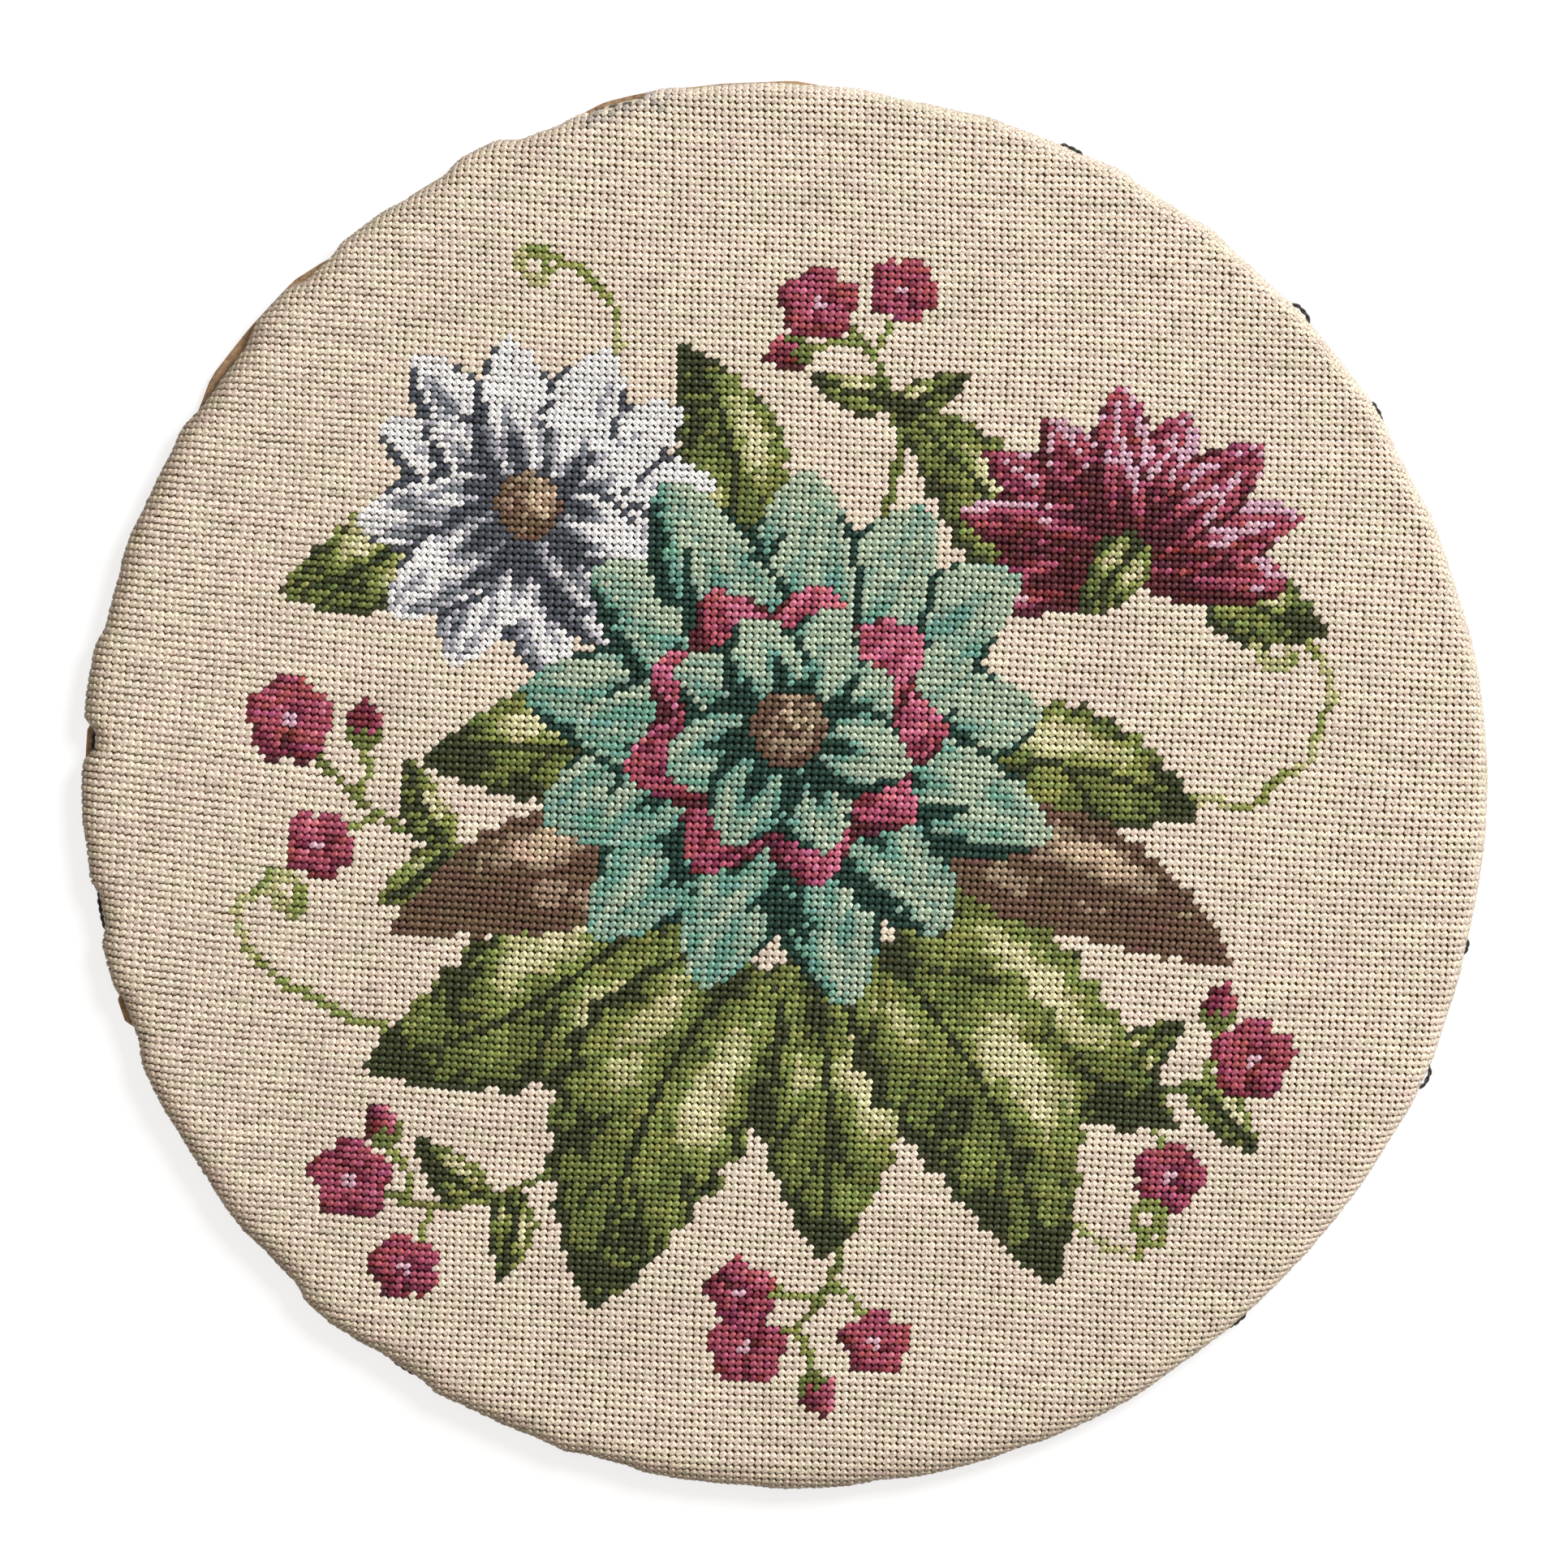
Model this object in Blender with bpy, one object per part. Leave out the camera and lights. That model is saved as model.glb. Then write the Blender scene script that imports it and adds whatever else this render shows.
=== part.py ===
"""Round needlepoint canvas panel, stretched over a plain round board.

The worked canvas lies flat on the board's face, rolls over its rounded edge and turns in below
it, so its rim bulges a little over the board. A thin cord runs all round in the rebate under
the rolled rim, on the board's lip, and comes out past the rim in a few short bights. The lip is
rough-cut, and in some places it stands out past the canvas.

Frame: metres, +Z up. The origin is the centre of the board's flat back. +Z points out of the
worked face, +Y to the top of the design and +X to its right. Angles run from +X towards +Y.
"""

import math
from collections import namedtuple

import bmesh
import bpy
from mathutils import Vector

MM = 0.001
TOUCH_GAP = 0.3 * MM  # between pieces that rest on each other

# Heights of the stack, from the board's back
LIP_THICKNESS = 3.0 * MM
BOARD_THICKNESS = 8.7 * MM
CLOTH_THICKNESS = 2.0 * MM  # canvas and the yarn worked over it
FACE_HEIGHT = BOARD_THICKNESS + TOUCH_GAP + CLOTH_THICKNESS

# The rolled rim of the worked canvas
WORKED_RADIUS = 177.8 * MM  # 14 inches across the rim at its widest
SHOULDER_RADIUS = 4.5 * MM  # from the flat face round to the widest place
TUCK_RADIUS = 2.2 * MM  # from the widest place in below the rim
TUCK_ANGLE_DEG = 48.0
WIDEST_HEIGHT = FACE_HEIGHT - SHOULDER_RADIUS

# The board: a raised middle inside the canvas, and a lip that the cord lies on
MIDDLE_RADIUS = 173.0 * MM
MIDDLE_EDGE_RADIUS = 2.2 * MM
LIP_RADIUS = 176.0 * MM
LIP_EASED_EDGE = 0.4 * MM

# The cord in the rebate
CORD_RADIUS = 0.6 * MM
CORD_ROUTE_RADIUS = 175.6 * MM
CORD_HEIGHT = LIP_THICKNESS + TOUCH_GAP + CORD_RADIUS

# How finely the round outlines are stepped
CANVAS_STEP_DEG = 3.0
BOARD_STEP_DEG = 5.0
CORD_STEP_DEG = 4.0
CLOSEST_STEP_DEG = 0.3

# A place where an outline leaves its circle: full height over the middle half of its width
Swell = namedtuple("Swell", "angle_deg half_width_deg out_mm")

# Bulges and pulled-in places along the canvas rim
RIM_SWELLS = (
    Swell(4, 12, 0.4),
    Swell(18, 6, -0.3),
    Swell(27, 4, -0.9),
    Swell(40, 7, -0.4),
    Swell(48, 4, -0.8),
    Swell(57, 4, -0.9),
    Swell(68, 6, -0.9),
    Swell(78, 6, -1.1),
    Swell(95, 7, 0.6),
    Swell(102.5, 5, 1.4),
    Swell(111, 3.5, -0.8),
    Swell(115.5, 3.5, 1.5),
    Swell(121.5, 3.5, -0.7),
    Swell(132, 2.6, -1.3),
    Swell(137, 3, 0.7),
    Swell(144, 5.5, -1.6),
    Swell(154, 5, -0.6),
    Swell(164.5, 4, -0.7),
    Swell(171.5, 4.5, 0.9),
    Swell(176.2, 1.6, -2.4),
    Swell(181, 4, 0.6),
    Swell(190.4, 2.6, -1.8),
    Swell(200, 3.4, -1.6),
    Swell(212, 5, -0.6),
    Swell(223.5, 4, -0.9),
    Swell(228.5, 3, 0.8),
    Swell(236.5, 4, -1.2),
    Swell(246, 6, -0.7),
    Swell(255, 3.5, -0.8),
    Swell(272.5, 5, 0.6),
    Swell(284, 6, 0.7),
    Swell(296, 8, 0.8),
    Swell(318, 7, -0.2),
    Swell(335, 5, 0.5),
    Swell(348, 4, -0.3),
)

# Where the rough-cut lip stands out past the canvas
LIP_SWELLS = (
    Swell(96.5, 15, 3.0),
    Swell(102.5, 5, 0.6),
    Swell(121, 3, 1.5),
    Swell(139, 10, 2.9),
    Swell(176.7, 2.6, 1.8),
    Swell(198.7, 1.8, 2.0),
)

# Where the cord comes out past the rim, or shows in a pulled-in place of it
CORD_BIGHTS = (
    Swell(32.4, 1.5, 2.5),
    Swell(42.5, 1.6, 2.8),
    Swell(65.8, 1.5, 1.8),
    Swell(144, 3, 0.3),
    Swell(176.2, 1.6, 0.4),
    Swell(190.4, 2.2, 0.9),
    Swell(223.5, 2.0, 1.0),
    Swell(236.7, 1.8, 1.0),
    Swell(299.9, 1.2, 2.4),
    Swell(310.3, 1.5, 2.5),
    Swell(335.5, 1.6, 3.7),
    Swell(346.7, 1.1, 2.4),
)

# sRGB colour and roughness of each piece
WORKED_YARN = ((212, 199, 180), 0.85)
BROWN_BOARD = ((132, 106, 82), 0.8)
BLACK_CORD = ((38, 36, 33), 0.7)


def clear_scene():
    for old in list(bpy.data.objects):
        bpy.data.objects.remove(old, do_unlink=True)


def linear(channel):
    """An sRGB channel of 0 to 255 as the linear value that Blender's colours hold."""
    share = channel / 255.0
    return share / 12.92 if share <= 0.04045 else ((share + 0.055) / 1.055) ** 2.4


def plain_material(name, look):
    colour, roughness = look
    material = bpy.data.materials.new(name)
    material.use_nodes = True
    shader = material.node_tree.nodes["Principled BSDF"]
    shader.inputs["Base Color"].default_value = (*map(linear, colour), 1.0)
    shader.inputs["Roughness"].default_value = roughness
    shader.inputs["Metallic"].default_value = 0.0
    return material


def swell_at(angle_deg, swells):
    """How far out of its circle an outline lies at this angle, in metres."""
    total = 0.0
    for swell in swells:
        apart = abs((angle_deg - swell.angle_deg + 180.0) % 360.0 - 180.0)
        ramp = 2.0 * (1.0 - apart / swell.half_width_deg)
        ramp = min(1.0, max(0.0, ramp))
        total += swell.out_mm * MM * ramp * ramp * (3.0 - 2.0 * ramp)
    return total


def outline_angles(swells, step_deg):
    """The angles that an outline has points at: even steps, and seven places on each swell."""
    angles = [step * step_deg for step in range(round(360.0 / step_deg))]
    for swell in swells:
        for share in (-1.0, -0.75, -0.5, 0.0, 0.5, 0.75, 1.0):
            angles.append((swell.angle_deg + share * swell.half_width_deg) % 360.0)
    spaced = []
    for angle in sorted(angles):
        if not spaced or angle - spaced[-1] >= CLOSEST_STEP_DEG:
            spaced.append(angle)
    return spaced


def around(angle_deg, radius, height):
    angle = math.radians(angle_deg)
    return Vector((radius * math.cos(angle), radius * math.sin(angle), height))


def arc(centre_inset, centre_height, radius, start_deg, end_deg, steps):
    """Points (inset from the rim, height) along an arc: 0 degrees faces out, 90 faces up."""
    points = []
    for step in range(steps + 1):
        angle = math.radians(start_deg + (end_deg - start_deg) * step / steps)
        inset = centre_inset - radius * math.cos(angle)
        points.append((inset, centre_height + radius * math.sin(angle)))
    return points


def turned_solid(name, rings, look):
    """A closed solid through rings of points, with a flat face over the first and the last."""
    shape = bmesh.new()
    loops = [[shape.verts.new(point) for point in ring] for ring in rings]
    count = len(loops[0])
    for one, other in zip(loops, loops[1:]):
        for near in range(count):
            far = (near + 1) % count
            shape.faces.new((one[near], one[far], other[far], other[near]))
    shape.faces.new(loops[0])
    shape.faces.new(loops[-1])
    bmesh.ops.recalc_face_normals(shape, faces=shape.faces)
    mesh = bpy.data.meshes.new(name)
    shape.to_mesh(mesh)
    shape.free()
    mesh.shade_smooth()
    mesh.set_sharp_from_angle(angle=math.radians(35.0))
    mesh.materials.append(plain_material(name, look))
    piece = bpy.data.objects.new(name, mesh)
    bpy.context.collection.objects.link(piece)
    return piece


def make_worked_canvas():
    """The canvas as a cap over the board: in along its inner side, and back over the outside."""
    inner_radius = SHOULDER_RADIUS - CLOTH_THICKNESS
    inside = arc(SHOULDER_RADIUS, WIDEST_HEIGHT, inner_radius, 90.0, 0.0, 3)
    tuck = arc(TUCK_RADIUS, WIDEST_HEIGHT, TUCK_RADIUS, -TUCK_ANGLE_DEG, 0.0, 2)
    shoulder = arc(SHOULDER_RADIUS, WIDEST_HEIGHT, SHOULDER_RADIUS, 0.0, 90.0, 5)
    profile = inside + tuck + shoulder[1:]
    angles = outline_angles(RIM_SWELLS, CANVAS_STEP_DEG)
    rim = [WORKED_RADIUS + swell_at(angle, RIM_SWELLS) for angle in angles]
    rings = [
        [around(angle, radius - inset, height) for angle, radius in zip(angles, rim)]
        for inset, height in profile
    ]
    return turned_solid("worked_canvas", rings, WORKED_YARN)


def make_round_board():
    """The board from its back up: the lip with eased edges, and the raised middle."""
    angles = outline_angles(LIP_SWELLS, BOARD_STEP_DEG)
    lip = [LIP_RADIUS + swell_at(angle, LIP_SWELLS) for angle in angles]
    ease = LIP_EASED_EDGE
    lip_profile = [(ease, 0.0), (0.0, ease), (0.0, LIP_THICKNESS - ease), (ease, LIP_THICKNESS)]
    rings = [
        [around(angle, radius - inset, height) for angle, radius in zip(angles, lip)]
        for inset, height in lip_profile
    ]
    edge_height = BOARD_THICKNESS - MIDDLE_EDGE_RADIUS
    middle_profile = [(0.0, LIP_THICKNESS)]
    middle_profile += arc(MIDDLE_EDGE_RADIUS, edge_height, MIDDLE_EDGE_RADIUS, 0.0, 90.0, 3)
    rings += [
        [around(angle, MIDDLE_RADIUS - inset, height) for angle in angles]
        for inset, height in middle_profile
    ]
    return turned_solid("round_board", rings, BROWN_BOARD)


def make_edge_cord():
    """The cord as one closed ring on the lip."""
    angles = outline_angles(CORD_BIGHTS, CORD_STEP_DEG)
    route = [
        around(angle, CORD_ROUTE_RADIUS + swell_at(angle, CORD_BIGHTS), CORD_HEIGHT)
        for angle in angles
    ]
    curve = bpy.data.curves.new("edge_cord", "CURVE")
    curve.dimensions = "3D"
    curve.bevel_depth = CORD_RADIUS
    curve.bevel_resolution = 2
    spline = curve.splines.new("POLY")
    spline.points.add(len(route) - 1)
    for point, place in zip(spline.points, route):
        point.co = (*place, 1.0)
    spline.use_cyclic_u = True
    spline.use_smooth = True
    curve.materials.append(plain_material("edge_cord", BLACK_CORD))
    piece = bpy.data.objects.new("edge_cord", curve)
    bpy.context.collection.objects.link(piece)
    return piece


def main():
    clear_scene()
    make_round_board()
    make_edge_cord()
    make_worked_canvas()


main()
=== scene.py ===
"""The looks of the round needlepoint canvas panel.

Every stitch of the worked canvas is real geometry: one plump slanting stitch is modelled, and a
copy of it is laid over each crossing of the canvas, in the yarn that the chart gives there. The
chart is a stylised spray of flowers and leaves, worked out by functions in millimetres.
"""

import math
from collections import namedtuple

import bpy
import numpy as np
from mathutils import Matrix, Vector
from mathutils.bvhtree import BVHTree


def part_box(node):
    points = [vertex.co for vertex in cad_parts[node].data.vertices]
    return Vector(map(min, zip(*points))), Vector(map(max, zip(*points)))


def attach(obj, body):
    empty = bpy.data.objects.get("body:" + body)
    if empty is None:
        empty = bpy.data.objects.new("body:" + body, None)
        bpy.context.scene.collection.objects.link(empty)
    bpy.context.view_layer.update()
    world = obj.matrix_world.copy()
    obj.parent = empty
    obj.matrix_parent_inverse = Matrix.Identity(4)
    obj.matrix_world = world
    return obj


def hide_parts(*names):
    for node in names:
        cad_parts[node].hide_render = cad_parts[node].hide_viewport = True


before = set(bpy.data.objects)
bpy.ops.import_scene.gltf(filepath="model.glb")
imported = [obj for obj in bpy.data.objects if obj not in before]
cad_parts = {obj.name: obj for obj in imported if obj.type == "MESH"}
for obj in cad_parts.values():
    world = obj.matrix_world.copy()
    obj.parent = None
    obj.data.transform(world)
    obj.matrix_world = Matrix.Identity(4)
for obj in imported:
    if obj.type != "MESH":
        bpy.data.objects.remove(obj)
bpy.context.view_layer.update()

MM = 0.001
BODY = "root"

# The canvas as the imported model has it
FACE_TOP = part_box("worked_canvas")[1].z
SHOULDER_RADIUS = 4.5 * MM  # from the flat face round to the widest place of the rim
TUCK_RADIUS = 2.2 * MM  # from there in below the rim
TUCK_ANGLE = math.radians(48.0)
WIDEST_HEIGHT = FACE_TOP - SHOULDER_RADIUS
TURNED_LENGTH = SHOULDER_RADIUS * math.pi / 2 + TUCK_RADIUS * TUCK_ANGLE

# Needlepoint canvas of 14 threads to the inch, and the yarn over it
PITCH = 25.4 / 14 * MM
YARN_RISE = 1.0 * MM  # how far the yarn stands above the bare canvas
CANVAS_THICKNESS = 0.8 * MM
STITCH_LENGTH = 1.42 * PITCH
STITCH_HEIGHT = 0.52 * PITCH
STITCH_END_DIP = 0.44 * PITCH  # its two ends go down into the holes of the canvas
STITCH_SUNK = 0.25 * PITCH  # its middle below the worked surface
CLOSED_AT = -0.9  # in parts of the panel's radius: left of here the stitches lie closed,
OPEN_AT = -0.3  # and right of here the holes between them are as open as they get
SLANT_CLOSED = 24.0  # degrees from the row
SLANT_OPEN = 39.0
SHORTER_OPEN = 0.10  # how much shorter the stitches are drawn where the holes stay open
WIDER_OPEN = 0.05  # and how much wider, so that they touch from row to row
COLOURED_FINENESS = 0.92  # the coloured yarns cover the canvas less than the cream does

OVERHANG = 200.0 * MM  # farther out than the rim anywhere, to measure it from outside


def from_hex(code):
    """An sRGB hex colour as linear red, green, blue and alpha."""
    channels = []
    for place in (1, 3, 5):
        share = int(code[place : place + 2], 16) / 255.0
        channels.append(share / 12.92 if share <= 0.04045 else ((share + 0.055) / 1.055) ** 2.4)
    return (*channels, 1.0)


def put(tree, kind, sockets=None, **settings):
    """Adds a node with its settings; a socket is given a value, or another node's output."""
    added = tree.nodes.new(kind)
    for name, value in settings.items():
        setattr(added, name, value)
    for name, value in (sockets or {}).items():
        if isinstance(value, bpy.types.NodeSocket):
            tree.links.new(value, added.inputs[name])
        else:
            added.inputs[name].default_value = value
    return added


def new_material(name):
    material = bpy.data.materials.new(name)
    material.use_nodes = True
    tree = material.node_tree
    return material, tree, tree.nodes["Principled BSDF"]


def deselect_all():
    bpy.ops.object.select_all(action="DESELECT")


# Camera, floor and light

PHOTO_WIDTH_PX = 1932
PANEL_CENTRE_PX = (967.1, 968.0)
PANEL_RADIUS_PX = 865.2
PANEL_RADIUS = 178.06 * MM
CAMERA_HEIGHT = 2.1
CAMERA_SENSOR_MM = 36.0


def stand_the_camera():
    """Straight above the panel, so that its rim fills the frame as it does in the photo."""
    per_pixel = PANEL_RADIUS / PANEL_RADIUS_PX
    frame_width = per_pixel * PHOTO_WIDTH_PX
    off_x = (PHOTO_WIDTH_PX / 2 - PANEL_CENTRE_PX[0]) * per_pixel
    off_y = (PANEL_CENTRE_PX[1] - PHOTO_WIDTH_PX / 2) * per_pixel
    deselect_all()
    bpy.ops.object.camera_add(location=(off_x, off_y, CAMERA_HEIGHT), rotation=(0, 0, 0))
    camera = bpy.context.object
    camera.name = "camera_above"
    camera.data.sensor_width = CAMERA_SENSOR_MM
    camera.data.lens = CAMERA_SENSOR_MM * (CAMERA_HEIGHT - WIDEST_HEIGHT) / frame_width
    camera.data.clip_start = 0.01
    bpy.context.scene.camera = camera


FLOOR_SIDE = 6.0
FLOOR_DROP = 0.2 * MM
PAPER_WHITE = "#818180"  # darker than paper, because the glow from below makes up the rest of the white
PAPER_GLOW = 0.78


def lay_the_floor():
    """White paper, lit from below like a viewing table, so that its shadow stays as faint as in
    the photo.
    """
    deselect_all()
    bpy.ops.mesh.primitive_plane_add(size=FLOOR_SIDE, location=(0, 0, -FLOOR_DROP))
    floor = bpy.context.object
    floor.name = "white_floor"
    material, tree, shader = new_material("matt_white_paper")
    shader.inputs["Base Color"].default_value = from_hex(PAPER_WHITE)
    shader.inputs["Roughness"].default_value = 0.9
    shader.inputs["Specular IOR Level"].default_value = 0.1
    shader.inputs["Emission Color"].default_value = (1, 1, 1, 1)
    shader.inputs["Emission Strength"].default_value = PAPER_GLOW
    floor.data.materials.append(material)


Lamp = namedtuple("Lamp", "name place size watts")
LAMPS = (
    Lamp("window_upper_right", (0.97, 0.88, 1.62), 0.70, 48.0),
    Lamp("soft_fill_above", (-0.3, 0.2, 2.2), 2.0, 9.0),
)
SKY_COLOUR = "#FFEBD6"
SKY_STRENGTH = 0.31


def hang_the_lamps():
    for lamp in LAMPS:
        deselect_all()
        bpy.ops.object.light_add(type="AREA", location=lamp.place)
        light = bpy.context.object
        light.name = lamp.name
        light.data.shape = "DISK"
        light.data.size = lamp.size
        light.data.energy = lamp.watts
        light.rotation_euler = (-Vector(lamp.place)).to_track_quat("-Z", "Y").to_euler()
    world = bpy.data.worlds.new("pale_room")
    world.use_nodes = True
    background = world.node_tree.nodes["Background"]
    background.inputs["Color"].default_value = from_hex(SKY_COLOUR)
    background.inputs["Strength"].default_value = SKY_STRENGTH
    bpy.context.scene.world = world
    bpy.context.scene.view_settings.view_transform = "Standard"


# The rim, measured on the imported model

RIM_PLACES = 720


def measured_radius(node, height):
    """The outer radius of a CAD node all round, at this height above the floor."""
    tree = BVHTree.FromObject(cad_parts[node], bpy.context.evaluated_depsgraph_get())
    radii = []
    for place in range(RIM_PLACES):
        angle = 2 * math.pi * place / RIM_PLACES
        outward = Vector((math.cos(angle), math.sin(angle), 0.0))
        start = outward * OVERHANG + Vector((0, 0, height))
        hit = tree.ray_cast(start, -outward)[0]
        radii.append(math.hypot(hit.x, hit.y))
    return np.array(radii)


ROUND = np.arange(RIM_PLACES) * 2 * math.pi / RIM_PLACES
RIM = measured_radius("worked_canvas", WIDEST_HEIGHT)


def radius_at(angle, radii):
    return np.interp(angle, ROUND, radii, period=2 * math.pi)


def over_the_board(flat_x, flat_y, lift):
    """Where a place of the flat cut lies once the canvas is stretched over the board.

    lift is how far the place is above the worked surface, or below it where negative.
    """
    reach = np.hypot(flat_x, flat_y)
    angle = np.arctan2(flat_y, flat_x)
    start = radius_at(angle, RIM) - SHOULDER_RADIUS
    run = np.maximum(reach - start, 0.0)
    turn = np.minimum(run / SHOULDER_RADIUS, math.pi / 2)
    past = np.maximum(run - SHOULDER_RADIUS * math.pi / 2, 0.0)
    tuck = np.minimum(past / TUCK_RADIUS, TUCK_ANGLE)
    bend = turn + tuck
    radius = np.minimum(reach, start) + SHOULDER_RADIUS * np.sin(turn)
    radius += lift * np.sin(bend) - TUCK_RADIUS * (1 - np.cos(tuck))
    height = FACE_TOP - SHOULDER_RADIUS * (1 - np.cos(turn)) - TUCK_RADIUS * np.sin(tuck)
    height += lift * np.cos(bend)
    return np.stack([radius * np.cos(angle), radius * np.sin(angle), height], axis=-1)


# How the canvas was pulled out of square when it was stretched
LEAN = 0.058  # how far the columns lean to the right for each step up, at their steepest
LEAN_PLACE = -45 * MM
LEAN_WAVE = 130 * MM
ROW_FALL = 0.047  # how far the rows fall for each step to the right
LEFT_FALL = 0.050  # more than that at the left, where the canvas was pulled up
LEFT_PLACE = -134 * MM
LEFT_REACH = 60 * MM
BUNCH = 1.1 * MM  # rows lie wider apart just above the middle, and closer near top and bottom
BUNCH_WAVE = 38 * MM
WANDER = 0.25 * MM  # the threads never run quite straight
WANDER_WAVE = 23 * MM


def on_flat_cut(column, row):
    """The place on the flat cut of a canvas crossing, counted from the middle one."""
    across, up = column * PITCH, row * PITCH
    x = across + LEAN * LEAN_WAVE * np.sin((up - LEAN_PLACE) / LEAN_WAVE)
    x = x - LEAN * LEAN_WAVE * math.sin(-LEAN_PLACE / LEAN_WAVE)
    pulled = np.exp(-(across - LEFT_PLACE) / LEFT_REACH) - math.exp(LEFT_PLACE / LEFT_REACH)
    y = up - ROW_FALL * across + LEFT_FALL * LEFT_REACH * pulled
    y = y + BUNCH * np.sin(up / BUNCH_WAVE)
    x = x + WANDER * np.sin(up / WANDER_WAVE * 2.3 + across / WANDER_WAVE)
    y = y + WANDER * np.sin(across / WANDER_WAVE * 1.7 - up / WANDER_WAVE * 0.8)
    return x, y


# The yarns of the chart

Yarn = namedtuple("Yarn", "name colour skein")
YARNS = (
    Yarn("cream", "#ECDECC", "ground"),
    Yarn("deep_teal", "#08352A", "teal"),
    Yarn("teal", "#689A8A", "teal"),
    Yarn("sea_green", "#8AA896", "teal"),
    Yarn("pale_sage", "#A9BAA4", "teal"),
    Yarn("white", "#EAE9E9", "grey"),
    Yarn("pale_grey", "#ACACB5", "grey"),
    Yarn("grey", "#7C828A", "grey"),
    Yarn("slate", "#434852", "grey"),
    Yarn("burgundy", "#4C0D1B", "rose"),
    Yarn("wine", "#742239", "rose"),
    Yarn("rose", "#A44B61", "rose"),
    Yarn("pink", "#C86E87", "rose"),
    Yarn("lilac", "#CBA3B4", "rose"),
    Yarn("brown", "#664D3B", "brown"),
    Yarn("hazel", "#97836C", "brown"),
    Yarn("tan", "#C4AE94", "brown"),
    Yarn("dark_green", "#323A19", "green"),
    Yarn("leaf_green", "#667136", "green"),
    Yarn("bright_green", "#848F4B", "green"),
    Yarn("light_green", "#B7B783", "green"),
    Yarn("pale_green", "#D6D2A8", "green"),
)
YARN_NUMBER = {yarn.name: number for number, yarn in enumerate(YARNS)}
HALF_COUNT = 122  # canvas threads from the middle past the farthest edge

ROWS, COLUMNS = np.mgrid[-HALF_COUNT : HALF_COUNT + 1, -HALF_COUNT : HALF_COUNT + 1]
CHART_X = COLUMNS * PITCH / MM  # in millimetres on the chart, as all its sizes are
CHART_Y = ROWS * PITCH / MM
random = np.random.default_rng(1814)
SPECKLE = random.uniform(-1.0, 1.0, CHART_X.shape)  # a worker's stray stitches of a near shade
chart = np.full(CHART_X.shape, YARN_NUMBER["cream"])


def along_and_across(x, y, heading):
    """Chart places seen from (x, y): how far along the heading, and how far to its left."""
    angle = math.radians(heading)
    right, up = CHART_X - x, CHART_Y - y
    along = right * math.cos(angle) + up * math.sin(angle)
    across = up * math.cos(angle) - right * math.sin(angle)
    return along, across


def patches(reach_x, reach_y, seed):
    """Soft light and dark patches of a size in millimetres, from about -1 to 1."""
    phases = np.random.default_rng(seed).uniform(0, 2 * math.pi, 6)
    field = np.zeros(CHART_X.shape)
    for number, phase in enumerate(phases):
        turn = 2 * math.pi * number / len(phases) + phase / 4
        wave = math.cos(turn) * CHART_X / reach_x + math.sin(turn) * CHART_Y / reach_y
        field += np.sin(wave + phase)
    return field / 3


MOTTLE = patches(3.2, 4.1, 5)  # how an eye sets shades in small clumps and not in clean bands


def shaded(place, light, shades, speckle=0.07, mottle=0.10):
    """Works a part of the chart in a run of shades, from 0 for the darkest to 1."""
    level = np.clip(light + speckle * SPECKLE + mottle * MOTTLE, 0.0, 0.999)
    number = (level * len(shades)).astype(int)
    picked = np.array([YARN_NUMBER[name] for name in shades])[number]
    chart[place] = picked[place]


LEAF_SHADES = ("dark_green", "leaf_green", "bright_green", "light_green", "pale_green")
TEAL_SHADES = ("deep_teal", "deep_teal", "teal", "sea_green", "pale_sage")
GREY_SHADES = ("slate", "slate", "grey", "pale_grey", "white", "white")
WINE_SHADES = ("burgundy", "burgundy", "wine", "rose", "lilac")
ROSE_SHADES = ("burgundy", "wine", "rose", "pink")
BROWN_SHADES = ("brown", "brown", "hazel", "tan")
TENDRIL_SHADES = ("bright_green", "light_green")
LIGHT_HEADING = 52.0  # each flower is shaded as if lit from the upper right
MIDRIB_WIDTH = 1.9
STEM_WIDTH = 2.1
TWIG_WIDTH = 1.9
TENDRIL_WIDTH = 2.1
TWIG_BLOSSOM = 8.5
TWIG_BUD = 13
FAR_AWAY = 1e9  # where the search for the nearest point of a curve starts


def lit_from(heading):
    """How far a side that faces this way is lit, from -1 to 1."""
    return math.cos(math.radians(heading - LIGHT_HEADING))


def work_leaf(x, y, heading, length, width, bow, shades=LEAF_SHADES):
    """A broad pointed leaf: a dark midrib, and a pale swell between the veins of each half."""
    along, across = along_and_across(x, y, heading)
    share = np.clip(along / length, 0.0, 1.0)
    across = across - bow * np.sin(math.pi * share)
    teeth = 1 + 0.06 * np.sin(share * 58) * (share > 0.15)
    half = width / 2 * np.sin(math.pi * share**0.66) ** 0.75 * teeth + 1e-6
    side = across / half
    inside = (along > 0) & (along < length) & (np.abs(side) < 1)
    lit = lit_from(heading + 90)
    swell_place = 0.34 + 0.12 * np.sign(side) * lit
    swell = np.exp(-(((share - swell_place) / 0.21) ** 2) - ((np.abs(side) - 0.45) / 0.30) ** 2)
    light = 0.27 + (0.60 + 0.22 * lit * np.sign(side)) * swell + 0.10 * lit * side
    vein = (share * 5.0 - np.abs(side) * 1.2) % 1.0 < 0.17
    light = light - 0.18 * vein * (np.abs(side) > 0.15)
    light = light - 0.22 * (np.abs(side) > 0.84) * (side * lit < 0.3) - 0.25 * (share > 0.86)
    shaded(inside, light, shades, mottle=0.16)
    midrib = inside & (np.abs(across) < MIDRIB_WIDTH / 2) & (share < 0.88)
    chart[midrib] = YARN_NUMBER[shades[0]]


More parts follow.
